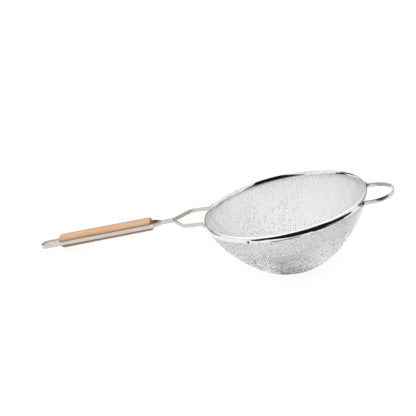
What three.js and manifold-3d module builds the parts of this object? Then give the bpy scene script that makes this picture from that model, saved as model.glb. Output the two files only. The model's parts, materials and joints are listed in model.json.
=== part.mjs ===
// Double mesh strainer with a wooden grip, in millimetres, +Z up, lying on a table:
// it stands on the bottom of its bowl and on the end of its handle.
import * as THREE from "three";
import { mergeVertices } from "three/addons/utils/BufferGeometryUtils.js";
import Module from "manifold-3d";

// Rim: a rolled band of sheet over a core wire, its two lips closed on the edges of both meshes
const rimDiameter = 260;
const rimHeight = 9;
const rollDiameter = 5.8;
const bandThickness = 0.6;
const seamHoleDiameter = 2.6;
const seamHoleEdge = 2.4; // centre of the hole above the band's lower edge
const seamHoleBearing = THREE.MathUtils.degToRad(-108); // from the front loop, seen from above

// Bowl: a round bottom that runs into a steeper side, both arcs
const bowlDepth = 114; // from the top of the rim to the outside of the bottom
const bowlBottomRadius = 107.5;
const bowlBottomAngle = THREE.MathUtils.degToRad(38); // where the bottom arc gives way to the side
const coarseWire = 1.2;
const coarsePitch = 19; // the real cloth is about 3 mm: each wire here stands for about six
const fineThickness = 0.4; // the fine cloth is a skin, its weave is too small to draw

// Flat steel strap of the handle and the front loop, standing on edge
const strapWidth = 6.5;
const strapThickness = 1.8;
const footLength = 9; // welded along the rim
const footBendRadius = 3;

// Handle, in lengths that follow each other from the rim outwards. The fork rises a little from the
// plane of the rim, and the strap is bent down where its two strands meet.
const forkWidth = 62; // between the middles of the two strands
const forkStraight = 30;
const forkTaper = 23;
const neckLength = 20;
const neckSpread = 17;
const gripLength = 160.5;
const hangLoopLength = 33;
const forkBendRadius = 18;
const neckBendRadius = 6;
const forkRise = THREE.MathUtils.degToRad(1.1);
const neckBend = THREE.MathUtils.degToRad(3.9);
const gripForkDiameter = 21.6;
const gripLoopDiameter = 22.8;
const gripForkRound = 1.6;
const gripLoopRound = 7;
const gripRise = 1.1; // middle of the grip above the middle of the strap
const strapRecess = 0.7; // strap below the side of the grip at its thin end
const rivetDiameter = 2.4;
const rivetHeadDiameter = 4.6;
const rivetHeadHeight = 0.9;
const rivetSetback = 6; // from the start of the neck

// Front loop, which rests on the edge of a pot
const loopWidth = 70;
const loopReach = 41.3; // beyond the rim
const loopDrop = 1.7; // middle of its strap below the middle of the rim

// Fits and facets
const clearance = 0.3;
const roundSegments = 56;
const gripSegments = 32;
const smallSegments = 12; // holes and the rivet
const coreSides = 6;
const arcDivisions = 3;

// Sizes that follow from those above
const rimRadius = rimDiameter / 2;
const rollRadius = rollDiameter / 2;
const coreRadius = rollRadius - bandThickness - clearance;
const rollCentre = rimRadius - rollRadius;
const coarseThickness = 2 * coarseWire;
const chordSag = coarsePitch ** 2 / (8 * bowlBottomRadius); // straight wire between two crossings
const fineInset = coarseThickness + chordSag + clearance;
const stackThickness = fineInset + fineThickness;
const lipReach = stackThickness / 2 + clearance + bandThickness;
const mouthRadius = rollCentre + stackThickness / 2;
const meshTop = -rollRadius - coreRadius - clearance;
const shoulder = -rimHeight - clearance - stackThickness / 2; // the walls turn upright below the lips
const strapLevel = -rimHeight / 2;
const neckOffset = (strapThickness + clearance) / 2;
const strapOffset = gripForkDiameter / 2 - strapRecess - strapThickness / 2;
const neckStart = forkStraight + forkTaper;
const gripStart = neckStart + neckLength + neckSpread;
const handleLength = gripStart + gripLength + hangLoopLength;

// Side arc of the bowl: it leaves the bottom arc without a corner and ends at the shoulder
const bottomCentre = bowlBottomRadius - bowlDepth;
const bottomOut = new THREE.Vector2(Math.sin(bowlBottomAngle), -Math.cos(bowlBottomAngle));
const arcJoint = bottomOut.clone().multiplyScalar(bowlBottomRadius).add(new THREE.Vector2(0, bottomCentre));
const jointToMouth = new THREE.Vector2(mouthRadius, shoulder).sub(arcJoint);
const sideRadius = -jointToMouth.lengthSq() / (2 * jointToMouth.dot(bottomOut));
const sideCentre = arcJoint.clone().addScaledVector(bottomOut, -sideRadius);

const brightSteel = new THREE.MeshStandardMaterial({ color: 0xd4d6d8, roughness: 0.14, metalness: 1 });
const satinSteel = new THREE.MeshStandardMaterial({ color: 0xc2c3c4, roughness: 0.38, metalness: 1 });
const wireSteel = new THREE.MeshStandardMaterial({ color: 0xb4b5b6, roughness: 0.45, metalness: 1 });
const fineSteel = new THREE.MeshStandardMaterial({ color: 0xcfcfce, roughness: 0.55, metalness: 1 });
const beech = new THREE.MeshStandardMaterial({ color: 0xcaa679, roughness: 0.6, metalness: 0 });

const wasm = await Module();
wasm.setup();

function solidFrom(geometry) {
  const bare = new THREE.BufferGeometry();
  bare.setAttribute("position", geometry.getAttribute("position"));
  bare.setIndex(geometry.getIndex());
  const merged = mergeVertices(bare, 1e-4);
  const corners = merged.getIndex().array;
  const triangles = [];
  for (let i = 0; i < corners.length; i += 3) {
    const [a, b, c] = corners.slice(i, i + 3);
    if (a !== b && b !== c && c !== a) {
      triangles.push(a, b, c);
    }
  }
  const mesh = new wasm.Mesh({
    numProp: 3,
    vertProperties: new Float32Array(merged.getAttribute("position").array),
    triVerts: new Uint32Array(triangles),
  });
  return new wasm.Manifold(mesh);
}

function cutAway(geometry, ...cutters) {
  let solid = solidFrom(geometry);
  for (const cutter of cutters) {
    solid = solid.subtract(solidFrom(cutter));
  }
  const mesh = solid.getMesh();
  const result = new THREE.BufferGeometry();
  result.setAttribute("position", new THREE.BufferAttribute(mesh.vertProperties, 3));
  result.setIndex(new THREE.BufferAttribute(mesh.triVerts, 1));
  return result;
}

// A closed outline of radius and height, turned about Z
function revolve(points, segments = roundSegments) {
  return new THREE.LatheGeometry(points, segments).rotateX(Math.PI / 2);
}

function node(name, geometry, material) {
  const mesh = new THREE.Mesh(geometry, material);
  mesh.name = name;
  return mesh;
}

// Slope of the side where it meets the upright collar, for a face that lies inset inside the bowl
function collarSlope(inset) {
  return Math.asin((mouthRadius - inset - sideCentre.x) / (sideRadius - inset));
}

// Half section of one face of the wall, from the bottom's centre to the edge inside the rim
function wallFace(inset) {
  const down = -Math.PI / 2;
  const face = new THREE.Path();
  face.absarc(0, bottomCentre, bowlBottomRadius - inset, down, down + bowlBottomAngle);
  face.absarc(
    sideCentre.x, sideCentre.y, sideRadius - inset, down + bowlBottomAngle, down + collarSlope(inset),
  );
  face.lineTo(mouthRadius - inset, meshTop);
  const points = face.getPoints(2);
  points[0].x = 0;
  return points;
}

// Lengths along the middle of the coarse cloth, from the bottom's centre
const clothBottom = bowlBottomRadius - coarseWire;
const clothSide = sideRadius - coarseWire;
const clothCollarSlope = collarSlope(coarseWire);
const bottomRun = clothBottom * bowlBottomAngle;
const shoulderRun = bottomRun + clothSide * (clothCollarSlope - bowlBottomAngle);
const shoulderHeight = sideCentre.y - clothSide * Math.cos(clothCollarSlope);
const edgeRun = shoulderRun + meshTop - shoulderHeight;

// Radius, height and slope of the coarse cloth's middle at a length from the bottom's centre
function clothAt(run) {
  if (run > shoulderRun) {
    const height = shoulderHeight + run - shoulderRun;
    return { radius: mouthRadius - coarseWire, height, slope: Math.PI / 2 };
  }
  const onBottom = run < bottomRun;
  const slope = onBottom ? run / clothBottom : bowlBottomAngle + (run - bottomRun) / clothSide;
  const size = onBottom ? clothBottom : clothSide;
  const centre = onBottom ? new THREE.Vector2(0, bottomCentre) : sideCentre;
  return { radius: centre.x + size * Math.sin(slope), height: centre.y - size * Math.cos(slope), slope };
}

// Flat cloth pressed into the bowl: a point of the flat sheet keeps its distance and its bearing
// from the centre. Gives the place, the inward normal and the directions of the two sets of wires.
function pressedCloth(u, v) {
  const run = Math.hypot(u, v);
  const { radius, height, slope } = clothAt(run);
  const [east, north] = [u / run, v / run];
  const round = new THREE.Vector3(-north, east, 0).multiplyScalar(radius / run);
  const uphill = new THREE.Vector3(east * Math.cos(slope), north * Math.cos(slope), Math.sin(slope));
  const alongU = uphill.clone().multiplyScalar(east).addScaledVector(round, -north).normalize();
  const alongV = uphill.clone().multiplyScalar(north).addScaledVector(round, east).normalize();
  return {
    place: new THREE.Vector3(radius * east, radius * north, height),
    inward: new THREE.Vector3(-east * Math.sin(slope), -north * Math.sin(slope), Math.cos(slope)),
    alongU,
    alongV,
  };
}

// Plain weave: at each crossing the two wires lie one on the other, joined where they touch, and
// each wire changes sides at the next crossing. The wires' ends run up into the rim.
function wovenBowl() {
  const positions = [];
  const triangles = [];
  const point = (vector) => positions.push(...vector.toArray()) / 3 - 1;
  const quad = (a, b, c, d) => triangles.push(a, b, c, a, c, d);
  const tube = (from, to) => {
    for (let k = 0; k < 4; k += 1) {
      const next = (k + 1) % 4;
      quad(from[k], from[next], to[next], to[k]);
    }
  };

  const wiresPerSide = Math.ceil(shoulderRun / coarsePitch);
  const lineOf = (index) => (index + 0.5) * coarsePitch;
  const wireRoom = 2 * coarseWire;
  const crosses = (i, j) => Math.hypot(lineOf(i), lineOf(j)) < shoulderRun - wireRoom;
  const meetsNearEdge = (i, j) => !crosses(i, j) && Math.hypot(lineOf(i), lineOf(j)) < edgeRun + wireRoom;

  // Four corners at three levels, outside to inside. Side k lies between corners k and k + 1.
  const cornerSigns = [[-1, -1], [1, -1], [1, 1], [-1, 1]];
  function crossing(i, j) {
    const { place, inward, alongU, alongV } = pressedCloth(lineOf(i), lineOf(j));
    const half = coarseWire / 2 / alongU.clone().cross(alongV).length();
    const corners = cornerSigns.map(([signU, signV]) => [-1, 0, 1].map((level) => {
      const corner = place.clone().addScaledVector(alongU, signU * half);
      return point(corner.addScaledVector(alongV, signV * half).addScaledVector(inward, level * coarseWire));
    }));
    quad(...corners.map((levels) => levels[2]));
    quad(...corners.map((levels) => levels[0]).reverse());
    return { i, j, corners };
  }

  // Sides 1 and 3 carry the wire along u, sides 0 and 2 the wire along v
  const wireLevel = (block, side) => Math.abs(block.i + block.j + side + 1) % 2;
  function sideRing(block, side, level) {
    const [near, far] = [block.corners[side], block.corners[(side + 1) % 4]];
    return [near[level], far[level], far[level + 1], near[level + 1]];
  }

  // Section of a wire that travels out through a side of its last crossing
  function endRing(u, v, side) {
    const { place, inward, alongU, alongV } = pressedCloth(u, v);
    const travel = (side % 2 ? alongU : alongV).clone().multiplyScalar(side === 1 || side === 2 ? 1 : -1);
    const across = inward.clone().cross(travel).multiplyScalar(coarseWire / 2);
    const deep = inward.clone().multiplyScalar(coarseWire / 2);
    return [[-1, -1], [1, -1], [1, 1], [-1, 1]].map(([a, b]) =>
      point(place.clone().addScaledVector(across, a).addScaledVector(deep, b)));
  }

  function wireEnd(block, side, stepI, stepJ) {
    const [u, v] = [lineOf(block.i), lineOf(block.j)];
    const alongWire = (run) => (side % 2
      ? [stepI * Math.sqrt(run ** 2 - v ** 2), v]
      : [u, stepJ * Math.sqrt(run ** 2 - u ** 2)]);
    // Where two wires would meet inside the rim, the one along u stops just short of the other
    const stopsShort = side % 2 && meetsNearEdge(block.i + stepI, block.j);
    const endRun = stopsShort ? Math.hypot(u + stepI * (coarsePitch - wireRoom), v) : edgeRun;
    const runs = endRun > shoulderRun + coarseWire ? [shoulderRun, endRun] : [endRun];
    let ring = sideRing(block, side, wireLevel(block, side));
    for (const run of runs) {
      const next = endRing(...alongWire(run), side);
      tube(ring, next);
      ring = next;
    }
    quad(...ring);
  }

  const blocks = new Map();
  for (let i = -wiresPerSide; i < wiresPerSide; i += 1) {
    for (let j = -wiresPerSide; j < wiresPerSide; j += 1) {
      if (crosses(i, j)) {
        blocks.set(`${i},${j}`, crossing(i, j));
      }
    }
  }
  const steps = [[0, -1], [1, 0], [0, 1], [-1, 0]];
  for (const block of blocks.values()) {
    steps.forEach(([stepI, stepJ], side) => {
      quad(...sideRing(block, side, 1 - wireLevel(block, side)));
      const neighbour = blocks.get(`${block.i + stepI},${block.j + stepJ}`);
      if (!neighbour) {
        wireEnd(block, side, stepI, stepJ);
      } else if (side === 1 || side === 2) {
        const [a, b, c, d] = sideRing(neighbour, (side + 2) % 4, wireLevel(neighbour, side));
        tube(sideRing(block, side, wireLevel(block, side)), [b, a, d, c]);
      }
    });
  }

  const geometry = new THREE.BufferGeometry();
  geometry.setAttribute("position", new THREE.Float32BufferAttribute(positions, 3));
  geometry.setIndex(triangles);
  return geometry;
}

function fineBowl() {
  return revolve([...wallFace(fineInset), ...wallFace(stackThickness).reverse()]);
}

// Two sheet walls that lean from the roll to the lips, closed over the core wire at the top
function rimBand() {
  const inner = rollRadius - bandThickness;
  const section = new THREE.Path();
  section.moveTo(rollCentre + lipReach - bandThickness, -rimHeight);
  section.lineTo(rollCentre + lipReach, -rimHeight);
  section.absarc(rollCentre, -rollRadius, rollRadius, 0, Math.PI);
  section.lineTo(rollCentre - lipReach, -rimHeight);
  section.lineTo(rollCentre - lipReach + bandThickness, -rimHeight);
  section.absarc(rollCentre, -rollRadius, inner, Math.PI, 0, true);
  section.lineTo(rollCentre + lipReach - bandThickness, -rimHeight);
  const hole = new THREE.CylinderGeometry(
    seamHoleDiameter / 2, seamHoleDiameter / 2, rollDiameter, smallSegments,
  );
  hole.rotateZ(Math.PI / 2);
  hole.translate(rollCentre + lipReach - bandThickness - clearance + rollRadius, 0, seamHoleEdge - rimHeight);
  hole.rotateZ(seamHoleBearing);
  return cutAway(revolve(section.getPoints(arcDivisions)), hole);
}

function coreWire() {
  const hoop = new THREE.TorusGeometry(rollCentre, coreRadius, coreSides, roundSegments);
  return hoop.translate(0, 0, -rollRadius);
}

// A polyline whose inner corners are rounded, each corner given as x, y and bend radius. Two bends
// that need more than the straight between them share it.
function roundedPath(corners) {
  const spots = corners.map(([x, y]) => new THREE.Vector2(x, y));
  const last = spots.length - 1;
  const halfAngles = spots.map((spot, k) => {
    const back = spots[Math.max(k - 1, 0)].clone().sub(spot);
    const ahead = spots[Math.min(k + 1, last)].clone().sub(spot);
    return k % last === 0 ? Math.PI / 2 : back.angleTo(ahead) / 2;
  });
  const wanted = corners.map(([, , radius], k) => radius / Math.tan(halfAngles[k]));
  const legShare = (k) => Math.min(1, spots[k].distanceTo(spots[k + 1]) / (wanted[k] + wanted[k + 1]));
  const path = new THREE.Path();
  path.moveTo(spots[0].x, spots[0].y);
  for (let k = 1; k < last; k += 1) {
    const reach = wanted[k] * Math.min(legShare(k - 1), legShare(k));
    const radius = reach * Math.tan(halfAngles[k]);
    const back = spots[k - 1].clone().sub(spots[k]).setLength(reach);
    const ahead = spots[k + 1].clone().sub(spots[k]).setLength(reach);
    const towards = back.clone().add(ahead).setLength(radius / Math.sin(halfAngles[k]));
    const start = back.clone().sub(towards).angle();
    const end = ahead.clone().sub(towards).angle();
    const centre = towards.add(spots[k]);
    path.lineTo(spots[k].x + back.x, spots[k].y + back.y);
    path.absarc(centre.x, centre.y, radius, start, end, back.cross(ahead) > 0);
  }
  path.lineTo(spots[last].x, spots[last].y);
  return path;
}

// A strap on edge: its middle line seen from above, given its thickness and its width
function strap(corners) {
  const middle = roundedPath(corners).getPoints(arcDivisions);
  const line = middle.filter((spot, k) => k === 0 || spot.distanceTo(middle[k - 1]) > clearance / 10);
  const left = [];
  const right = [];
  line.forEach((spot, k) => {
    const arrive = spot.clone().sub(line[k - 1] ?? spot).normalize();
    const leave = (line[k + 1] ?? spot).clone().sub(spot).normalize();
    const ahead = arrive.clone().add(leave).normalize();
    const mitre = Math.max(ahead.dot(arrive), ahead.dot(leave));
    const side = new THREE.Vector2(-ahead.y, ahead.x).multiplyScalar(strapThickness / 2 / mitre);
    left.push(spot.clone().add(side));
    right.push(spot.clone().sub(side));
  });
  const outline = new THREE.Shape([...right, ...left.reverse()]);
  const geometry = new THREE.ExtrudeGeometry(outline, { depth: strapWidth, bevelEnabled: false });
  return geometry.translate(0, 0, -strapWidth / 2);
}

// End of a strap that leaves the rim along +X at a given distance from the middle: a foot that
// lies along the rim, then the corner where the strap turns away. Places count from the rim's edge.
function strapFoot(spread) {
  const seat = rimRadius + clearance + strapThickness / 2;
  const bearing = Math.asin((spread + footLength / 2) / seat);
  const [out, along] = [Math.cos(bearing), Math.sin(bearing)];
  const middle = [seat * out - rimRadius, seat * along];
  const toEnd = footLength / 2;
  const toCorner = (spread - middle[1]) / out;
  return [
    [middle[0] - along * toEnd, middle[1] + out * toEnd, 0],
    [middle[0] - along * toCorner, spread, footBendRadius],
  ];
}

function bothSides(half) {
  const mirrored = half.map(([x, y, radius]) => [x, -y, radius]).reverse();
  return [...half, ...mirrored];
}

// What lies beyond the start of the neck turns down with the bend there
function bentAtNeck(geometry) {
  const places = geometry.getAttribute("position");
  const bend = new THREE.Matrix4().makeRotationY(neckBend).setPosition(neckStart, 0, 0);
  const place = new THREE.Vector3();
  for (let k = 0; k < places.count; k += 1) {
    place.fromBufferAttribute(places, k);
    if (place.x > neckStart) {
      place.setX(place.x - neckStart).applyMatrix4(bend);
      places.setXYZ(k, ...place);
    }
  }
  return geometry;
}

// One strap bent as a hairpin: fork, neck, along both sides of the grip, and round the hanging loop
function handleStrap() {
  const hairpin = strap(bothSides([
    ...strapFoot(forkWidth / 2),
    [forkStraight, forkWidth / 2, forkBendRadius],
    [neckStart, neckOffset, neckBendRadius],
    [neckStart + neckLength, neckOffset, neckBendRadius],
    [gripStart - 2 * strapThickness, strapOffset, neckBendRadius],
    [handleLength - strapThickness / 2, strapOffset, strapOffset],
  ]));
  const holeRadius = rivetDiameter / 2 + clearance;
  const hole = new THREE.CylinderGeometry(holeRadius, holeRadius, 4 * strapThickness, smallSegments);
  return bentAtNeck(cutAway(hairpin, hole.translate(neckStart + rivetSetback, 0, 0)));
}

// Turned grip, thicker and rounder at the hanging loop, with a groove along each side for the strap
function woodGrip() {
  const forkRadius = gripForkDiameter / 2;
  const loopRadius = gripLoopDiameter / 2;
  const profile = new THREE.Path();
  profile.moveTo(0, 0);
  profile.lineTo(forkRadius - gripForkRound, 0);
  profile.absarc(forkRadius - gripForkRound, gripForkRound, gripForkRound, -Math.PI / 2, 0);
  profile.absarc(loopRadius - gripLoopRound, gripLength - gripLoopRound, gripLoopRound, 0, Math.PI / 2);
  profile.lineTo(0, gripLength);
  const turned = new THREE.LatheGeometry(profile.getPoints(2), gripSegments).rotateZ(-Math.PI / 2);
  const grooveFloor = strapOffset - strapThickness / 2 - clearance;
  const grooves = [1, -1].map((side) => {
    const groove = new THREE.BoxGeometry(2 * gripLength, loopRadius, strapWidth + 2 * clearance);
    return groove.translate(gripLength / 2, side * (grooveFloor + loopRadius / 2), -gripRise);
  });
  return cutAway(turned, ...grooves);
}

// Rivet that holds the two strands together at the neck, a domed head at each end
function neckRivet() {
  const headSeat = neckOffset + strapThickness / 2 + clearance;
  const shank = rivetDiameter / 2;
  const headRadius = rivetHeadDiameter / 2;
  const profile = new THREE.Path();
  profile.absellipse(0, -headSeat, headRadius, rivetHeadHeight, -Math.PI / 2, 0);
  profile.lineTo(shank, -headSeat);
  profile.lineTo(shank, headSeat);
  profile.lineTo(headRadius, headSeat);
  profile.absellipse(0, headSeat, headRadius, rivetHeadHeight, 0, Math.PI / 2);
  const points = profile.getPoints(2);
  points[0].x = 0;
  points.at(-1).x = 0;
  return new THREE.LatheGeometry(points, smallSegments);
}

function frontLoop() {
  const tip = loopReach - strapThickness / 2;
  return strap(bothSides([
    ...strapFoot(loopWidth / 2),
    [tip, loopWidth / 2, loopWidth / 2], // the two bends meet as a half round
  ]));
}

// The handle points to -X. Beyond the bend at its neck it carries the rivet and the grip.
const pastBend = new THREE.Group();
pastBend.position.set(neckStart, 0, 0);
pastBend.rotation.y = neckBend;
const rivet = node("neck_rivet", neckRivet(), satinSteel);
rivet.position.set(rivetSetback, 0, 0);
const grip = node("wood_grip", woodGrip(), beech);
grip.position.set(gripStart - neckStart, 0, gripRise);
pastBend.add(rivet, grip);

const handle = new THREE.Group();
handle.position.set(-rimRadius, 0, strapLevel);
handle.rotation.set(0, forkRise, Math.PI);
handle.add(node("handle_strap", handleStrap(), satinSteel), pastBend);

const loop = node("front_loop", frontLoop(), satinSteel);
loop.position.set(rimRadius, 0, strapLevel - loopDrop);

const strainer = new THREE.Group();
strainer.add(
  node("coarse_mesh", wovenBowl(), wireSteel),
  node("fine_mesh", fineBowl(), fineSteel),
  node("rim_core_wire", coreWire(), satinSteel),
  node("rim_band", rimBand(), brightSteel),
  loop,
  handle,
);

// Tilt at which the bottom arc and the lower edge of the hanging loop touch the same surface
const droop = neckBend - forkRise;
const pastNeck = handleLength - neckStart;
const tipDistance = rimRadius + neckStart * Math.cos(forkRise) + pastNeck * Math.cos(droop)
  - strapWidth / 2 * Math.sin(droop);
const tipHeight = strapLevel + neckStart * Math.sin(forkRise) - pastNeck * Math.sin(droop)
  - strapWidth / 2 * Math.cos(droop);
const tipAboveCentre = tipHeight - bottomCentre;
strainer.rotation.y = -Math.atan2(tipAboveCentre, tipDistance)
  - Math.asin(bowlBottomRadius / Math.hypot(tipDistance, tipAboveCentre));

// Origin on the table, under the middle of the whole strainer
const reach = new THREE.Box3().setFromObject(strainer, true);
const middle = reach.getCenter(new THREE.Vector3());
strainer.position.set(-middle.x, -middle.y, -reach.min.z);

const model = new THREE.Group();
model.add(strainer);

export default model;
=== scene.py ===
# Looks of the double mesh strainer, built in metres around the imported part
import json
from math import asin, atan2, cos, hypot, pi, radians, sin, sqrt, tan

import bmesh
import bpy
from mathutils import Matrix, Vector


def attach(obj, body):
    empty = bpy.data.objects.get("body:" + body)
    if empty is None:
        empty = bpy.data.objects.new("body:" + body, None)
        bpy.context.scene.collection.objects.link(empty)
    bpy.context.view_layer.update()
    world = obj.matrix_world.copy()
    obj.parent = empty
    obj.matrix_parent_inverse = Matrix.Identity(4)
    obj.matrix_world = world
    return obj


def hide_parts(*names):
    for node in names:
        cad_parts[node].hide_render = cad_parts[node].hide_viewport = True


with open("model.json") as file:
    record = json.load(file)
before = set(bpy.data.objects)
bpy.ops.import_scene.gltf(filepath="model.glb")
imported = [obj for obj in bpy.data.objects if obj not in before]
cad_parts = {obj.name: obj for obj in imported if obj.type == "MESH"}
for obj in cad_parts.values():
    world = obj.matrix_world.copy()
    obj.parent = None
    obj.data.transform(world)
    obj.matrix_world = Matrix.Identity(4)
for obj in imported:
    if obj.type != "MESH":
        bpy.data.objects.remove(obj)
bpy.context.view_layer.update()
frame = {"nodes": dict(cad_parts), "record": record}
scene = bpy.context.scene
mm = 0.001
fullTurn = 2 * pi
print("frame loaded:", len(frame["nodes"]), "nodes")


# Materials

# Nearly all values of a noise texture lie between these
noiseLow, noiseHigh = 0.3, 0.7


def linear(hexColour):
    channels = [int(hexColour[i:i + 2], 16) / 255 for i in (1, 3, 5)]
    return [c / 12.92 if c <= 0.04045 else ((c + 0.055) / 1.055) ** 2.4 for c in channels] + [1.0]


def grey(value):
    return (value, value, value, 1)


def startNodes(holder):
    holder.use_nodes = True
    holder.node_tree.nodes.clear()
    return holder


def newMaterial(name):
    return startNodes(bpy.data.materials.new(name))


def addNode(material, kind, links=(), inputs=(), **settings):
    made = material.node_tree.nodes.new(kind)
    for name, value in settings.items():
        setattr(made, name, value)
    for socket, value in inputs:
        made.inputs[socket].default_value = value
    for socket, source in links:
        material.node_tree.links.new(source, made.inputs[socket])
    return made


def objectSpot(material):
    return addNode(material, "ShaderNodeTexCoord").outputs["Object"]


def turnedSpot(material, spot, turn):
    return addNode(material, "ShaderNodeMapping", [("Vector", spot)], [("Rotation", turn)],
                   vector_type="TEXTURE").outputs["Vector"]


# Coordinates in which a pattern has these sizes along X, Y and Z
def stretched(material, spot, sizes):
    return addNode(material, "ShaderNodeMapping", [("Vector", spot)],
                   [("Scale", [1 / size for size in sizes])]).outputs["Vector"]


def noise(material, spot, size, detail, roughness=0.5):
    return addNode(material, "ShaderNodeTexNoise", [("Vector", spot)],
                   [("Scale", 1 / size), ("Detail", detail),
                    ("Roughness", roughness)]).outputs["Fac"]


def calculate(material, operation, links, inputs=()):
    return addNode(material, "ShaderNodeMath", links, inputs, operation=operation).outputs[0]


def distanceTo(material, spot, point):
    return addNode(material, "ShaderNodeVectorMath", [(0, spot)], [(1, point)],
                   operation="DISTANCE").outputs["Value"]


# A value moved from one range to another and held at its ends
def ranged(material, value, low, high, atLow, atHigh):
    return addNode(material, "ShaderNodeMapRange", [("Value", value)],
                   [("From Min", low), ("From Max", high), ("To Min", atLow),
                    ("To Max", atHigh)]).outputs["Result"]


def toned(material, value, stops):
    tone = addNode(material, "ShaderNodeValToRGB", [("Fac", value)])
    elements = tone.color_ramp.elements
    while len(elements) < len(stops):
        elements.new(0.5)
    for element, (position, hexColour) in zip(elements, stops):
        element.position = position
        element.color = linear(hexColour)
    return tone.outputs["Color"]


def tinted(material, share, colour, hexColour):
    return addNode(material, "ShaderNodeMix", [(0, share), (6, colour)],
                   [(7, linear(hexColour))], data_type="RGBA").outputs[2]


def relief(material, height, strength, depth):
    return addNode(material, "ShaderNodeBump", [("Height", height)],
                   [("Strength", strength), ("Distance", depth)]).outputs["Normal"]


def surfaced(material, links, inputs):
    shader = addNode(material, "ShaderNodeBsdfPrincipled", links, inputs)
    addNode(material, "ShaderNodeOutputMaterial", [("Surface", shader.outputs["BSDF"])])
    return material


# Tinned steel wire drawn thin: a soft shine, duller in drifting patches. Its small bright and dull
# spots are painted glints and painted shade, where the crossings catch the light and the gaps
# fall dark, and are drawn coarser than real, so that they show. It is painted darker towards the
# bottom and lighter towards the top, as painted shade and painted light.
def tinnedWire(name, bright, dull, roughness, glintSize):
    material = newMaterial(name)
    tin = {"patch": 38 * mm, "glintShare": 0.75, "dullUpTo": 0.35, "brightFrom": 0.47,
           "patchRoughness": 0.08}
    # Painted shade towards the bottom and painted light towards the top, by height above the floor
    heightShading = {"low": 12 * mm, "high": 78 * mm, "duller": -0.07, "brighter": 0.05}
    spot = objectSpot(material)
    drift = noise(material, spot, tin["patch"], detail=3, roughness=0.6)
    # Painted glints and painted shade: bright and dull spots at about the size of the weave
    grainsAndGlints = noise(material, spot, glintSize * mm, detail=1)
    mixed = addNode(material, "ShaderNodeMix", [(2, drift), (3, grainsAndGlints)],
                    [(0, tin["glintShare"])]).outputs[0]
    height = addNode(material, "ShaderNodeSeparateXYZ", [(0, spot)]).outputs["Z"]
    paintedHeightShading = ranged(material, height, heightShading["low"], heightShading["high"], heightShading["duller"], heightShading["brighter"])
    shine = calculate(material, "ADD", [(0, mixed), (1, paintedHeightShading)])
    colour = toned(material, shine, [(tin["dullUpTo"], dull), (tin["brightFrom"], bright)])
    gloss = ranged(material, drift, noiseLow, noiseHigh, roughness + tin["patchRoughness"],
                   roughness)
    return surfaced(material, [("Base Color", colour), ("Roughness", gloss)], [("Metallic", 1.0)])


# Bright tinned sheet, rolled: mirror-like, with faint drawing waves round the rim. The floor of
# its hole gets no light, and that shade is painted on it as a dark colour, so the hole reads as a
# dark dot.
def rolledTinplate(behindHole):
    material = newMaterial("rolledTinplate")
    smear = {"size": 5 * mm, "dull": "#dcdcda", "bright": "#ececeb", "dullRoughness": 0.12,
             "brightRoughness": 0.06}
    buckle = {"size": 14 * mm, "strength": 0.15, "depth": 0.3 * mm}
    # Painted shade on the floor of the hole, round the point behind it
    paintedHoleShade = {"full": 2.28 * mm, "gone": 2.5 * mm, "colour": "#1d1c1b"}
    spot = objectSpot(material)
    film = noise(material, spot, smear["size"], detail=4, roughness=0.6)
    tone = toned(material, film, [(noiseLow, smear["dull"]), (noiseHigh, smear["bright"])])
    gloss = ranged(material, film, noiseLow, noiseHigh, smear["dullRoughness"],
                   smear["brightRoughness"])
    waves = noise(material, spot, buckle["size"], detail=1)
    bump = relief(material, waves, buckle["strength"], buckle["depth"])
    away = distanceTo(material, spot, behindHole)
    inside = ranged(material, away, paintedHoleShade["full"], paintedHoleShade["gone"], 1.0, 0.0)
    colour = tinted(material, inside, tone, paintedHoleShade["colour"])
    return surfaced(material, [("Base Color", colour), ("Roughness", gloss), ("Normal", bump)],
                    [("Metallic", 1.0)])


# Tinned strap, cold rolled: satin, with fine rolling lines along the strap and dark marks round
# its welds. The handle's strap, which hands rub, is warmer and duller than the front loop.
def rolledStrap(name, turn, welds, dull, bright, roughness):
    material = newMaterial(name)
    line = {"length": 18 * mm, "width": 0.5 * mm, "strength": 0.25, "depth": 0.05 * mm,
            "dullRoughness": 0.1}
    footMark = {"full": 3.4 * mm, "gone": 7.2 * mm, "ragged": 3 * mm, "wander": 3.2 * mm,
            "colour": "#57534e"}
    spot = objectSpot(material)
    along = stretched(material, turnedSpot(material, spot, turn),
                      (line["length"], line["length"], line["width"]))
    lines = noise(material, along, 1.0, detail=3)
    tone = toned(material, lines, [(noiseLow, dull), (noiseHigh, bright)])
    ragged = noise(material, spot, footMark["ragged"], detail=2)
    wander = calculate(material, "MULTIPLY", [(0, ragged)], [(1, footMark["wander"])])
    away = [distanceTo(material, spot, weld) for weld in welds]
    nearest = away[0]
    for other in away[1:]:
        nearest = calculate(material, "MINIMUM", [(0, nearest), (1, other)])
    fromFootMark = calculate(material, "ADD", [(0, nearest), (1, wander)])
    footMarkShare = ranged(material, fromFootMark, footMark["full"], footMark["gone"], 1.0, 0.0)
    colour = tinted(material, footMarkShare, tone, footMark["colour"])
    gloss = ranged(material, lines, noiseLow, noiseHigh, roughness + line["dullRoughness"],
                   roughness)
    bump = relief(material, lines, line["strength"], line["depth"])
    return surfaced(material, [("Base Color", colour), ("Roughness", gloss), ("Normal", bump)],
                    [("Metallic", 1.0)])
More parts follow.
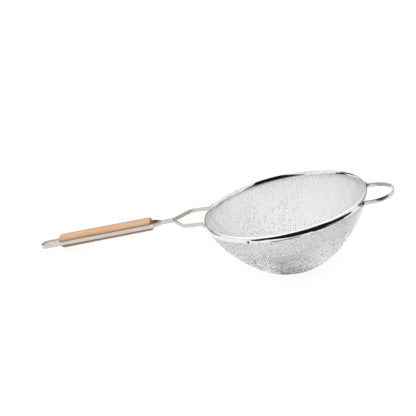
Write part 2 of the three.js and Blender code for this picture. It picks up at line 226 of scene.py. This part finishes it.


# Bare turned beech: warm tan, long soft grain with short darker ray flecks, dry and matt, and
# browner beside the grooves, which is painted shade where the strap sits in them
def bareBeech(turn, grooveMiddle, grooveWidth):
    material = newMaterial("bareTurnedBeech")
    grain = {"length": 70 * mm, "width": 2.2 * mm, "detail": 5, "strength": 0.3,
             "depth": 0.15 * mm, "darkRoughness": 0.62, "paleRoughness": 0.5,
             "tones": [(0.3, "#c6966b"), (0.5, "#d7ad86"), (0.72, "#e4c3a2")]}
    fleck = {"length": 3.2 * mm, "width": 0.5 * mm, "detail": 2, "from": 0.6, "full": 0.72,
             "share": 0.45, "colour": "#94653f"}
    # Painted shade: browner within a few millimetres of each groove
    grooveShade = {"full": grooveWidth / 2 + 1.2 * mm, "gone": grooveWidth / 2 + 4.6 * mm, "share": 0.8,
             "colour": "#7c5f45"}
    along = turnedSpot(material, objectSpot(material), turn)
    grainsAndGlints, flecks = [
        noise(material, stretched(material, along, (size["length"], size["width"], size["width"])),
              1.0, size["detail"], roughness=0.55)
        for size in (grain, fleck)]
    tone = toned(material, grainsAndGlints, grain["tones"])
    fleckShare = ranged(material, flecks, fleck["from"], fleck["full"], 0.0, fleck["share"])
    flecked = tinted(material, fleckShare, tone, fleck["colour"])
    height = addNode(material, "ShaderNodeSeparateXYZ", [(0, along)]).outputs["Z"]
    fromGroove = calculate(material, "SUBTRACT", [(0, height)], [(1, grooveMiddle)])
    apart = calculate(material, "ABSOLUTE", [(0, fromGroove)])
    grooveShadeShare = ranged(material, apart, grooveShade["full"], grooveShade["gone"], grooveShade["share"], 0.0)
    colour = tinted(material, grooveShadeShare, flecked, grooveShade["colour"])
    gloss = ranged(material, grainsAndGlints, noiseLow, noiseHigh, grain["darkRoughness"],
                   grain["paleRoughness"])
    bump = relief(material, grainsAndGlints, grain["strength"], grain["depth"])
    return surfaced(material, [("Base Color", colour), ("Roughness", gloss), ("Normal", bump)],
                    [("IOR", 1.5)])


# Where things are: lengths in millimetres, which each piece's place turns into metres

rim = {"diameter": 260, "height": 9, "roll": 5.8, "sheet": 0.6, "lip": 1.75, "turnSteps": 288,
       "seamBearing": radians(-108.6), "seamGap": 0.4}
strapSize = {"width": 6.5, "thickness": 1.8, "edgeRound": 0.45, "edgeSteps": 4,
             "bendStep": radians(6)}
frontLoop = {"width": 70, "reach": 41.3, "drop": 1.7}
handle = {"rise": radians(1.1), "bend": radians(3.9), "forkWidth": 62, "forkStraight": 30,
          "forkTaper": 23, "neck": 20, "spread": 17, "grip": 160.5, "hangLoop": 33,
          "forkBend": 18, "neckBend": 6, "strandGap": 0.3}

rimRadius = rim["diameter"] / 2
halfStrap = strapSize["thickness"] / 2
strapLevel = -rim["height"] / 2
loopLevel = strapLevel - frontLoop["drop"]
neckStart = handle["forkStraight"] + handle["forkTaper"]
gripStart = neckStart + handle["neck"] + handle["spread"]
handleLength = gripStart + handle["grip"] + handle["hangLoop"]

# The strainer lies on its bowl and its hanging loop. The mount under the front loop gives how far
# it leans and where the middle of the rim is.
frontRest = next(m for m in frame["record"]["mounts"] if m["name"] == "front_rest")
lean = atan2(frontRest["axis"][0], -frontRest["axis"][2])
restSpot = Vector((rimRadius + frontLoop["reach"] - halfStrap, 0,
                   loopLevel - strapSize["width"] / 2))
leanTurn = Matrix.Rotation(-lean, 4, "Y")
rimMiddle = Vector(frontRest["pos_m"]) - leanTurn @ (restSpot * mm)
onRim = Matrix.Translation(rimMiddle) @ leanTurn @ Matrix.Scale(mm, 4)
onFront = onRim @ Matrix.Translation((rimRadius, 0, loopLevel))
onHandle = (onRim @ Matrix.Translation((-rimRadius, 0, strapLevel))
            @ Matrix.Rotation(pi, 4, "Z") @ Matrix.Rotation(-handle["rise"], 4, "Y"))
pastBend = (onHandle @ Matrix.Translation((neckStart, 0, 0))
            @ Matrix.Rotation(handle["bend"], 4, "Y"))


# Camera, fitted to the rim, the bowl, the handle and the front loop in the photograph

view = {"distance": 2.0, "around": radians(7.26), "above": radians(23.387),
        "turn": radians(10.972), "tip": radians(23.70), "focalPixels": 1283.5,
        "pixels": 416, "sensor": 36.0}
camera = bpy.data.objects.new("camera", bpy.data.cameras.new("camera"))
camera.data.sensor_width = view["sensor"]
camera.data.lens = view["focalPixels"] / view["pixels"] * view["sensor"]
camera.location = rimMiddle + view["distance"] * Vector(
    (sin(view["around"]) * cos(view["above"]), -cos(view["around"]) * cos(view["above"]),
     sin(view["above"])))
camera.rotation_euler = (pi / 2 - view["tip"], 0, view["turn"])
scene.collection.objects.link(camera)
scene.camera = camera
print("camera at", [round(c, 3) for c in camera.location])


# Shaping

mergeDistance = 1e-4


def meshFrom(shaped, name):
    bmesh.ops.recalc_face_normals(shaped, faces=shaped.faces)
    mesh = bpy.data.meshes.new(name)
    shaped.to_mesh(mesh)
    shaped.free()
    return mesh


def keepPiece(name, mesh, place, material, node, sharpAngle=radians(35)):
    mesh.transform(place)
    shaped = bmesh.new()
    shaped.from_mesh(mesh)
    for face in shaped.faces:
        face.smooth = True
    for edge in shaped.edges:
        edge.smooth = len(edge.link_faces) == 2 and edge.calc_face_angle(0) < sharpAngle
    shaped.to_mesh(mesh)
    shaped.free()
    mesh.materials.clear()
    mesh.materials.append(material)
    piece = bpy.data.objects.new(name, mesh)
    scene.collection.objects.link(piece)
    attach(piece, "root")
    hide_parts(node)
    print("made", name, "with", len(mesh.polygons), "faces")


# The mesh of an object as its modifiers or its bevel leave it
def evaluatedMesh(thing):
    bpy.context.view_layer.update()
    settled = thing.evaluated_get(bpy.context.evaluated_depsgraph_get())
    return bpy.data.meshes.new_from_object(settled)


# A mesh less the cutters, all in the same place
def cutAway(mesh, *cutters):
    body = bpy.data.objects.new("body", mesh)
    scene.collection.objects.link(body)
    helpers = [body]
    for cutter in cutters:
        helper = bpy.data.objects.new("cutter", cutter)
        scene.collection.objects.link(helper)
        helpers.append(helper)
        cut = body.modifiers.new("cut", "BOOLEAN")
        cut.operation = "DIFFERENCE"
        cut.solver = "EXACT"
        cut.object = helper
    made = evaluatedMesh(body)
    for helper in helpers:
        bpy.data.objects.remove(helper)
    return made


def turnVerts(shaped, angle, axis):
    bmesh.ops.rotate(shaped, cent=(0, 0, 0), matrix=Matrix.Rotation(angle, 3, axis),
                     verts=shaped.verts)


def arc(centreX, centreY, radius, start, end, steps):
    angles = [start + (end - start) * k / steps for k in range(steps + 1)]
    return [(centreX + radius * cos(a), centreY + radius * sin(a)) for a in angles]


# A line of radius and height, or a closed outline, spun about Z. A part turn of an outline gets
# closed ends.
def spinLine(points, angle, steps, closed=False, startBearing=0.0):
    shaped = bmesh.new()
    verts = [shaped.verts.new((r * cos(startBearing), r * sin(startBearing), z))
             for r, z in points]
    pairs = list(zip(verts, verts[1:])) + ([(verts[-1], verts[0])] if closed else [])
    edges = [shaped.edges.new(pair) for pair in pairs]
    full = angle >= fullTurn
    spun = bmesh.ops.spin(shaped, geom=verts + edges, cent=(0, 0, 0), axis=(0, 0, 1),
                          dvec=(0, 0, 0), angle=angle, steps=steps, use_merge=full)
    if closed and not full:
        lastEdges = [g for g in spun["geom_last"] if isinstance(g, bmesh.types.BMEdge)]
        bmesh.ops.contextual_create(shaped, geom=edges)
        bmesh.ops.contextual_create(shaped, geom=lastEdges)
    bmesh.ops.remove_doubles(shaped, verts=shaped.verts, dist=mergeDistance)
    return shaped


# Woven bowls

bowl = {"depth": 114, "bottomRadius": 107.5, "bottomAngle": radians(38), "mouthRadius": 128.2,
        "shoulder": -10.4, "top": -8.9}
coarseCloth = {"pitch": 4.3, "wire": 0.8, "inset": 0.85, "sides": 4}
fineCloth = {"pitch": 1.75, "wire": 0.5, "inset": 2.2, "sides": 3}
fewestCrossings = 2

bottomCentre = bowl["bottomRadius"] - bowl["depth"]
bottomOut = Vector((sin(bowl["bottomAngle"]), -cos(bowl["bottomAngle"])))
arcJoint = bottomOut * bowl["bottomRadius"] + Vector((0, bottomCentre))
jointToMouth = Vector((bowl["mouthRadius"], bowl["shoulder"])) - arcJoint
sideRadius = -jointToMouth.length_squared / (2 * jointToMouth.dot(bottomOut))
sideCentre = arcJoint - bottomOut * sideRadius


# Middle surface of a cloth that lies inset inside the bowl: its lengths from the bottom's centre
def clothLengths(inset):
    bottom, side = bowl["bottomRadius"] - inset, sideRadius - inset
    collarSlope = asin((bowl["mouthRadius"] - inset - sideCentre.x) / side)
    bottomRun = bottom * bowl["bottomAngle"]
    shoulderRun = bottomRun + side * (collarSlope - bowl["bottomAngle"])
    shoulderHeight = sideCentre.y - side * cos(collarSlope)
    return {"inset": inset, "bottom": bottom, "side": side, "bottomRun": bottomRun,
            "shoulderRun": shoulderRun, "shoulderHeight": shoulderHeight,
            "edgeRun": shoulderRun + bowl["top"] - shoulderHeight}


# A point of the flat cloth, pressed into the bowl, keeps its distance and bearing from the centre
def pressedCloth(cloth, u, v, lift):
    run = hypot(u, v)
    if run > cloth["shoulderRun"]:
        radius, slope = bowl["mouthRadius"] - cloth["inset"], pi / 2
        height = cloth["shoulderHeight"] + run - cloth["shoulderRun"]
    elif run > cloth["bottomRun"]:
        slope = bowl["bottomAngle"] + (run - cloth["bottomRun"]) / cloth["side"]
        radius = sideCentre.x + cloth["side"] * sin(slope)
        height = sideCentre.y - cloth["side"] * cos(slope)
    else:
        slope = run / cloth["bottom"]
        radius = cloth["bottom"] * sin(slope)
        height = bottomCentre - cloth["bottom"] * cos(slope)
    radius -= lift * sin(slope)
    return (radius * u / run, radius * v / run, height + lift * cos(slope))


# Plain weave: each wire passes over and under the wires that it crosses. Warp wires run along u,
# weft wires along v.
def wovenWires(name, size, *sets):
    cloth = clothLengths(size["inset"])
    section = bpy.data.objects.new("section", bpy.data.curves.new("section", "CURVE"))
    section.data.dimensions = "2D"
    ring = section.data.splines.new("POLY")
    ring.points.add(size["sides"] - 1)
    for k, point in enumerate(ring.points):
        turn = fullTurn * k / size["sides"]
        point.co = (size["wire"] / 2 * cos(turn), size["wire"] / 2 * sin(turn), 0, 1)
    ring.use_cyclic_u = True

    wires = bpy.data.curves.new(name, "CURVE")
    wires.dimensions = "3D"
    wires.bevel_mode = "OBJECT"
    wires.bevel_object = section
    wires.use_fill_caps = True
    half = int(cloth["edgeRun"] / size["pitch"])
    for weft in [wireSet == "weft" for wireSet in sets]:
        for j in range(-half, half):
            across = (j + 0.5) * size["pitch"]
            reach = sqrt(max(cloth["edgeRun"] ** 2 - across ** 2, 0))
            crossings = int(reach / size["pitch"] + 0.5)
            if crossings < fewestCrossings:
                continue
            stops = [(-reach, 0)]
            for i in range(-crossings, crossings):
                over = 1 if (i + j + weft) % 2 else -1
                stops.append(((i + 0.5) * size["pitch"], over * size["wire"] / 2))
            stops.append((reach, 0))
            spline = wires.splines.new("POLY")
            spline.points.add(len(stops) - 1)
            for point, (along, lift) in zip(spline.points, stops):
                u, v = (across, along) if weft else (along, across)
                point.co = (*pressedCloth(cloth, u, v, lift), 1)
    carrier = bpy.data.objects.new(name, wires)
    scene.collection.objects.link(carrier)
    scene.collection.objects.link(section)
    mesh = evaluatedMesh(carrier)
    bpy.data.objects.remove(carrier)
    bpy.data.objects.remove(section)
    return mesh


coarseTin = tinnedWire("tinnedCoarseWire", bright="#fdfdfb", dull="#918f8a", roughness=0.16,
                       glintSize=4.3)
fineTin = tinnedWire("tinnedFineWire", bright="#fefefc", dull="#f1f0ed", roughness=0.34,
                     glintSize=3.2)
smoothAll = pi
keepPiece("coarse_cloth", wovenWires("coarseWires", coarseCloth, "warp", "weft"), onRim,
          coarseTin, "coarse_mesh", smoothAll)
keepPiece("fine_cloth_warp", wovenWires("fineWarp", fineCloth, "warp"), onRim,
          fineTin, "fine_mesh", smoothAll)
keepPiece("fine_cloth_weft", wovenWires("fineWeft", fineCloth, "weft"), onRim,
          fineTin, "fine_mesh", smoothAll)


# Rolled rim: a tall roll whose lips close in on the cloth. Its outer half is an oval, its inner
# half slants more: for each half the depth of its widest place and how round it is, 2 for an oval
# and 1 for a straight slant, with the steps of its outside and its inside.

outerHalf = {"side": 1, "widest": 7.5, "round": 2.0, "steps": 14, "insideSteps": 8}
innerHalf = {"side": -1, "widest": 8.4, "round": 1.4, "steps": 18, "insideSteps": 16}
rollRadius = rim["roll"] / 2
rollCentre = rimRadius - rollRadius


# From the widest place of a half, or of its inside, up to the crest
def rollArc(half, inside):
    sheet = rim["sheet"] if inside else 0
    steps = half["insideSteps"] if inside else half["steps"]
    power = 2 / half["round"]
    return [(rollCentre + half["side"] * max(x, 0) ** power * (rollRadius - sheet),
             max(y, 0) ** power * (half["widest"] - sheet) - half["widest"])
            for x, y in arc(0, 0, 1, 0, pi / 2, steps)]


lipOut, lipIn = rollCentre + rim["lip"], rollCentre - rim["lip"]
rimOutline = (
    [(lipOut - rim["sheet"], -rim["height"]), (lipOut, -rim["height"])]
    + rollArc(outerHalf, False) + rollArc(innerHalf, False)[-2::-1]
    + [(lipIn, -rim["height"]), (lipIn + rim["sheet"], -rim["height"])]
    + rollArc(innerHalf, True) + rollArc(outerHalf, True)[-2::-1])
seamAngle = rim["seamGap"] / rimRadius
rimMesh = meshFrom(spinLine(rimOutline, fullTurn - seamAngle, rim["turnSteps"], True,
                            rim["seamBearing"]), "rimBand")

# The hole near the seam keeps a thin floor, or the bright cloth would show through it; its dark
# colour is painted shade.
rimHole = {"diameter": 3.8, "aboveEdge": 2.5, "fromSeam": 2.6, "depth": 0.48, "paintedShadeBehind": 1.22,
           "sides": 32}
holeBearing = rim["seamBearing"] + rimHole["fromSeam"] / rimRadius
holeHeight = rimHole["aboveEdge"] - rim["height"]
holeFloor = rimRadius - rimHole["depth"]
drill = bmesh.new()
bmesh.ops.create_cone(drill, cap_ends=True, segments=rimHole["sides"],
                      radius1=rimHole["diameter"] / 2, radius2=rimHole["diameter"] / 2,
                      depth=rim["roll"])
turnVerts(drill, pi / 2, "Y")
bmesh.ops.translate(drill, vec=(holeFloor + rollRadius, 0, holeHeight), verts=drill.verts)
turnVerts(drill, holeBearing, "Z")
rimMesh = cutAway(rimMesh, meshFrom(drill, "seamHole"))
paintedShadeReach = holeFloor - rimHole["paintedShadeBehind"]
behindHole = onRim @ Vector((paintedShadeReach * cos(holeBearing), paintedShadeReach * sin(holeBearing),
                             holeHeight))
keepPiece("rolled_rim", rimMesh, onRim, rolledTinplate(behindHole), "rim_band")


# Bent straps

shortestStraight = 1e-3
tiny = 1e-6  # keeps a division from failing


# Moves of a bender along a line of corners, each x, y and bend radius: a straight length, then a
# turn. Two bends that need more than the straight between them share it.
def benderMoves(corners):
    spots = [Vector(c[:2]) for c in corners]
    legs = [b - a for a, b in zip(spots, spots[1:])]
    turns = [0] + [-a.angle_signed(b) for a, b in zip(legs, legs[1:])] + [0]
    wanted = [c[2] * tan(abs(t) / 2) for c, t in zip(corners, turns)]
    shares = [min(1, leg.length / max(wanted[k] + wanted[k + 1], tiny))
              for k, leg in enumerate(legs)]
    reach = [0] + [wanted[k] * min(shares[k - 1], shares[k]) for k in range(1, len(legs))] + [0]
    moves = []
    for k, leg in enumerate(legs):
        moves.append((leg.length - reach[k] - reach[k + 1], 0, 0))
        if k + 1 < len(legs):
            moves.append((0, turns[k + 1], reach[k + 1] / tan(abs(turns[k + 1]) / 2)))
    return spots[0], legs[0].normalized(), moves


# A flat strap standing on edge, bent along its corners
def bentStrap(corners):
    start, heading, moves = benderMoves(corners)
    shaped = bmesh.new()
    bmesh.ops.create_grid(shaped, x_segments=1, y_segments=1, size=0.5)
    bmesh.ops.scale(shaped, vec=(strapSize["thickness"], strapSize["width"], 1),
                    verts=shaped.verts)
    bmesh.ops.bevel(shaped, geom=shaped.verts[:], offset=strapSize["edgeRound"],
                    affect="VERTICES", segments=strapSize["edgeSteps"], profile=0.5, material=-1)
    upright = Matrix.Rotation(pi / 2, 3, "X")
    facing = Matrix.Rotation(atan2(heading.y, heading.x) - pi / 2, 3, "Z") @ upright
    bmesh.ops.rotate(shaped, cent=(0, 0, 0), matrix=facing, verts=shaped.verts)
    spot = Vector((start.x, start.y, 0))
    ahead = Vector((heading.x, heading.y, 0))
    bmesh.ops.translate(shaped, vec=spot, verts=shaped.verts)
    edges = shaped.edges[:]
    for length, turn, radius in moves:
        if length > shortestStraight:
            grown = bmesh.ops.extrude_edge_only(shaped, edges=edges)["geom"]
            verts = [g for g in grown if isinstance(g, bmesh.types.BMVert)]
            bmesh.ops.translate(shaped, vec=ahead * length, verts=verts)
            edges = [e for e in grown if isinstance(e, bmesh.types.BMEdge)
                     and all(v in verts for v in e.verts)]
            spot += ahead * length
        if turn:
            side = Vector((-ahead.y, ahead.x, 0)) * (1 if turn > 0 else -1)
            centre = spot + side * radius
            steps = max(2, int(abs(turn) / strapSize["bendStep"]) + 1)
            ringVerts = list({v for e in edges for v in e.verts})
            spun = bmesh.ops.spin(shaped, geom=ringVerts + edges, cent=centre, axis=(0, 0, 1),
                                  dvec=(0, 0, 0), angle=turn, steps=steps)["geom_last"]
            edges = [g for g in spun if isinstance(g, bmesh.types.BMEdge)]
            swing = Matrix.Rotation(turn, 3, "Z")
            ahead = swing @ ahead
            spot = centre + swing @ (spot - centre)
    bmesh.ops.contextual_create(shaped, geom=edges)
    return shaped


foot = {"length": 9, "bend": 3, "clearance": 0.3, "forkWeldDepth": 3.4}


# End of a strap that leaves the rim along X: a foot along the rim, then the corner where it turns
# away
def strapFoot(spread):
    seat = rimRadius + foot["clearance"] + halfStrap
    toEnd = foot["length"] / 2
    bearing = asin((spread + toEnd) / seat)
    out, along = cos(bearing), sin(bearing)
    middle = (seat * out - rimRadius, seat * along)
    toCorner = (spread - middle[1]) / out
    return [(middle[0] - along * toEnd, middle[1] + out * toEnd, 0),
            (middle[0] - along * toCorner, spread, foot["bend"])]


def bothSides(half):
    return half + [(x, -y, radius) for x, y, radius in reversed(half)]


loopSpread, forkSpread = frontLoop["width"] / 2, handle["forkWidth"] / 2
loopFoot, forkFoot = strapFoot(loopSpread), strapFoot(forkSpread)
# The marks under the front loop sit at its feet: those of the fork are set deeper in and mark
# it less
weldedFeet = ((onFront, loopFoot, 0), (onHandle, forkFoot, foot["forkWeldDepth"]))
welds = [place @ (Vector((end[0] + bend[0] - 2 * deep, side * (end[1] + bend[1]), 0)) / 2)
         for place, (end, bend), deep in weldedFeet for side in (1, -1)]
strapTurn = (0, -lean, 0)
strapTin = rolledStrap("satinTinnedStrap", strapTurn, welds, dull="#c1bdb8", bright="#d9d4ce",
                       roughness=0.24)
loopTin = rolledStrap("brightTinnedStrap", strapTurn, welds, dull="#bdbbb8", bright="#d6d4d1",
                      roughness=0.15)
loopTip = (frontLoop["reach"] - halfStrap, loopSpread, loopSpread)
loopMesh = meshFrom(bentStrap(bothSides(loopFoot + [loopTip])), "frontLoop")
keepPiece("front_loop_strap", loopMesh, onFront, loopTin, "front_loop")

grip = {"forkDiameter": 21.6, "loopDiameter": 22.8, "forkRound": 1.6, "forkRoundSteps": 6,
        "loopRound": 7, "loopRoundSteps": 14, "rise": 1.1, "recess": 0.7, "grooveRoom": 0.3,
        "sides": 96}
neckOffset = (strapSize["thickness"] + handle["strandGap"]) / 2
strapOffset = grip["forkDiameter"] / 2 - grip["recess"] - halfStrap
hairpin = bentStrap(bothSides(forkFoot + [
    (handle["forkStraight"], forkSpread, handle["forkBend"]),
    (neckStart, neckOffset, handle["neckBend"]),
    (neckStart + handle["neck"], neckOffset, handle["neckBend"]),
    (gripStart - 2 * strapSize["thickness"], strapOffset, handle["neckBend"]),
    (handleLength - halfStrap, strapOffset, strapOffset),
]))
bmesh.ops.rotate(hairpin, cent=(neckStart, 0, 0), matrix=Matrix.Rotation(handle["bend"], 3, "Y"),
                 verts=[v for v in hairpin.verts if v.co.x > neckStart])
keepPiece("handle_hairpin", meshFrom(hairpin, "hairpin"), onHandle, strapTin, "handle_strap")


# Rivet through both strands at the neck

rivet = {"diameter": 2.4, "head": 4.6, "headHeight": 0.9, "headSteps": 6, "setback": 6,
         "sides": 32}
headSeat = neckOffset + halfStrap
shank = [(rivet["diameter"] / 2, 0), (rivet["diameter"] / 2, headSeat)]
dome = [(max(x, 0) * rivet["head"] / 2, headSeat + y * rivet["headHeight"])
        for x, y in arc(0, 0, 1, 0, pi / 2, rivet["headSteps"])]
rivetMesh = spinLine(shank + dome, fullTurn, rivet["sides"])
bmesh.ops.mirror(rivetMesh, geom=rivetMesh.verts[:] + rivetMesh.edges[:] + rivetMesh.faces[:],
                 matrix=Matrix.Identity(4), merge_dist=mergeDistance, axis="Z")
bmesh.ops.remove_doubles(rivetMesh, verts=rivetMesh.verts, dist=mergeDistance)
turnVerts(rivetMesh, pi / 2, "X")
bmesh.ops.translate(rivetMesh, vec=(rivet["setback"], 0, 0), verts=rivetMesh.verts)
keepPiece("neck_rivet_domed", meshFrom(rivetMesh, "rivet"), pastBend, strapTin, "neck_rivet")


# Core wire inside the roll, seen only at the seam

core = {"wire": 2.8, "level": -4.1, "sides": 16, "turnSteps": 144}
coreOutline = arc(rollCentre, core["level"], core["wire"] / 2, 0, fullTurn, core["sides"])[:-1]
coreMesh = spinLine(coreOutline, fullTurn, core["turnSteps"], True)
keepPiece("core_hoop", meshFrom(coreMesh, "coreHoop"), onRim, strapTin, "rim_core_wire")


# Wooden grip, thicker and rounder at the hanging loop

gripTurn = -lean - handle["bend"] + handle["rise"]
grooveMiddle = Matrix.Rotation(-gripTurn, 3, "Y") @ pastBend.translation
beech = bareBeech((0, gripTurn, 0), grooveMiddle.z, strapSize["width"] * mm)
forkRadius, loopRadius = grip["forkDiameter"] / 2, grip["loopDiameter"] / 2
forkRound, loopRound = grip["forkRound"], grip["loopRound"]
gripLine = (
    [(0.0, 0.0)]
    + arc(forkRadius - forkRound, forkRound, forkRound, -pi / 2, 0, grip["forkRoundSteps"])
    + arc(loopRadius - loopRound, handle["grip"] - loopRound, loopRound, 0, pi / 2,
          grip["loopRoundSteps"])
    + [(0.0, handle["grip"])])
turned = spinLine(gripLine, fullTurn, grip["sides"])
turnVerts(turned, pi / 2, "Y")
grooveFloor = strapOffset - halfStrap - grip["grooveRoom"]
grooveSize = (2 * handle["grip"], loopRadius, strapSize["width"] + 2 * grip["grooveRoom"])
grooves = []
for side in (1, -1):
    groove = bmesh.new()
    bmesh.ops.create_cube(groove, size=1)
    bmesh.ops.scale(groove, vec=grooveSize, verts=groove.verts)
    grooveSpot = (handle["grip"] / 2, side * (grooveFloor + loopRadius / 2), -grip["rise"])
    bmesh.ops.translate(groove, vec=grooveSpot, verts=groove.verts)
    grooves.append(meshFrom(groove, "groove"))
gripMesh = cutAway(meshFrom(turned, "grip"), *grooves)
gripMesh.transform(Matrix.Translation((gripStart - neckStart, 0, grip["rise"])))
keepPiece("beech_grip", gripMesh, pastBend, beech, "wood_grip")


# Stage: pale floor, white surroundings, and dark cards that only metal shows

def stageObject(name, mesh, material):
    made = bpy.data.objects.new(name, mesh)
    made.data.materials.append(material)
    scene.collection.objects.link(made)
    return made


# The floor glows, so that its shadow is faint to the eye and fainter in the metal, and it throws
# little light back
floor = {"size": 8.0, "glow": 1.15, "glowSeen": 0.7, "glowInMetal": 0.85, "paint": 0.9,
         "paintAsLight": 0.6}
floorMaterial = newMaterial("paleFloor")
path = addNode(floorMaterial, "ShaderNodeLightPath").outputs
seen = calculate(floorMaterial, "MULTIPLY", [(0, path["Is Camera Ray"])],
                 [(1, floor["glowSeen"])])
glowShare = calculate(floorMaterial, "MULTIPLY_ADD", [(0, path["Is Glossy Ray"]), (2, seen)],
                      [(1, floor["glowInMetal"])])
tint = ranged(floorMaterial, path["Is Diffuse Ray"], 0.0, 1.0, floor["paint"],
              floor["paintAsLight"])
paint = addNode(floorMaterial, "ShaderNodeBsdfDiffuse", [("Color", tint)])
glow = addNode(floorMaterial, "ShaderNodeEmission",
               inputs=[("Color", grey(1.0)), ("Strength", floor["glow"])])
floorMix = addNode(floorMaterial, "ShaderNodeMixShader",
                   [(0, glowShare), (1, paint.outputs[0]), (2, glow.outputs[0])])
addNode(floorMaterial, "ShaderNodeOutputMaterial", [("Surface", floorMix.outputs[0])])
floorMesh = bmesh.new()
bmesh.ops.create_grid(floorMesh, x_segments=1, y_segments=1, size=floor["size"] / 2)
floorPlane = stageObject("floor", meshFrom(floorMesh, "floor"), floorMaterial)

# Standing cards around the rim, with each corner's bearing in degrees and its lower and upper
# edge in metres. The front one gives the rim its long bands, the back one a band that shows from
# behind, those at the handle and at the left its short dashes, and the right one the streak on
# the front loop. A flat one under the bowl is a painted shadow: it gives the bowl's lower outside
# the darker spot that the bowl's shadow on the floor gives in the metal.
cards = {
    "front": {"radius": 0.33, "corners": [
        (-122, 0.05, 0.1), (-112, 0.05, 0.19), (-103, 0.08, 0.26), (-95, 0.08, 0.5),
        (-75, 0.07, 0.55), (-45, 0.11, 0.55), (-34, 0.12, 0.28), (-19, 0.12, 0.235),
        (-2, 0.12, 0.16)]},
    "back": {"radius": 1.0, "corners": [
        (bearing, 0.1, 0.32) for bearing in range(25, 161, 15)]},
    "handle": {"radius": 0.5, "corners": [
        (160, 0.001, 0.03), (166, 0.001, 0.06), (173, 0.001, 0.1), (184, 0.001, 0.09),
        (188, 0.001, 0.03)]},
    "left": {"radius": 0.33, "corners": [
        (140, 0.1, 0.15), (150, 0.1, 0.19), (167, 0.1, 0.19)]},
    "right": {"radius": 0.6, "corners": [
        (-50, 0.005, 0.09), (-30, 0.01, 0.1), (-15, 0.045, 0.1), (-7, 0.06, 0.1)]},
}
# Painted shadow: a dark disc on the floor under the bowl, seen only in the metal
flatCard = {"radius": 0.043, "place": (0.148, -0.092, 0.002), "sides": 32}
cardTone = 0.012
cardMaterial = newMaterial("darkCard")
dark = addNode(cardMaterial, "ShaderNodeEmission",
               inputs=[("Color", grey(cardTone)), ("Strength", 1.0)])
addNode(cardMaterial, "ShaderNodeOutputMaterial", [("Surface", dark.outputs[0])])
standing = bmesh.new()
for card in cards.values():
    posts = []
    for bearing, low, high in card["corners"]:
        x, y = card["radius"] * cos(radians(bearing)), card["radius"] * sin(radians(bearing))
        posts.append([standing.verts.new((x, y, height)) for height in (low, high)])
    for (low, high), (nextLow, nextHigh) in zip(posts, posts[1:]):
        standing.faces.new((low, nextLow, nextHigh, high))
bmesh.ops.translate(standing, vec=(rimMiddle.x, 0, 0), verts=standing.verts)
bmesh.ops.create_circle(standing, cap_ends=True, segments=flatCard["sides"],
                        radius=flatCard["radius"], matrix=Matrix.Translation(flatCard["place"]))
darkCard = stageObject("dark_card", meshFrom(standing, "darkCard"), cardMaterial)
for ray in ("camera", "diffuse", "transmission", "shadow", "volume_scatter"):
    setattr(darkCard, "visible_" + ray, False)

# White to the eye and in the metal, softer as light on the wood
sky = {"seen": 1.0, "light": 0.5}
world = startNodes(bpy.data.worlds.new("white"))
skyPath = addNode(world, "ShaderNodeLightPath").outputs
skyStrength = ranged(world, skyPath["Is Diffuse Ray"], 0.0, 1.0, sky["seen"], sky["light"])
background = addNode(world, "ShaderNodeBackground", [("Strength", skyStrength)],
                     [("Color", grey(1.0))])
addNode(world, "ShaderNodeOutputWorld", [("Surface", background.outputs[0])])
scene.world = world

# A softbox overhead, so wide that the edges that mirror it stay pale grey, and a fill beside the
# camera that the metal doesn't show
softboxes = {
    "overhead": {"width": 4.0, "power": 29, "place": (-0.3, 0.1, 1.8), "inMetal": True},
    "fill": {"width": 1.0, "power": 11, "place": (-0.35, -1.6, 0.75), "inMetal": False},
}
for name, softbox in softboxes.items():
    lamp = bpy.data.lights.new(name, "AREA")
    lamp.shape = "SQUARE"
    lamp.size = softbox["width"]
    lamp.energy = softbox["power"]
    lampObject = bpy.data.objects.new(name, lamp)
    lampObject.location = softbox["place"]
    fromRim = Vector(softbox["place"]) - rimMiddle
    lampObject.rotation_euler = fromRim.to_track_quat("Z", "Y").to_euler()
    lampObject.visible_glossy = softbox["inMetal"]
    scene.collection.objects.link(lampObject)
scene.view_settings.view_transform = "Standard"
print("stage set")
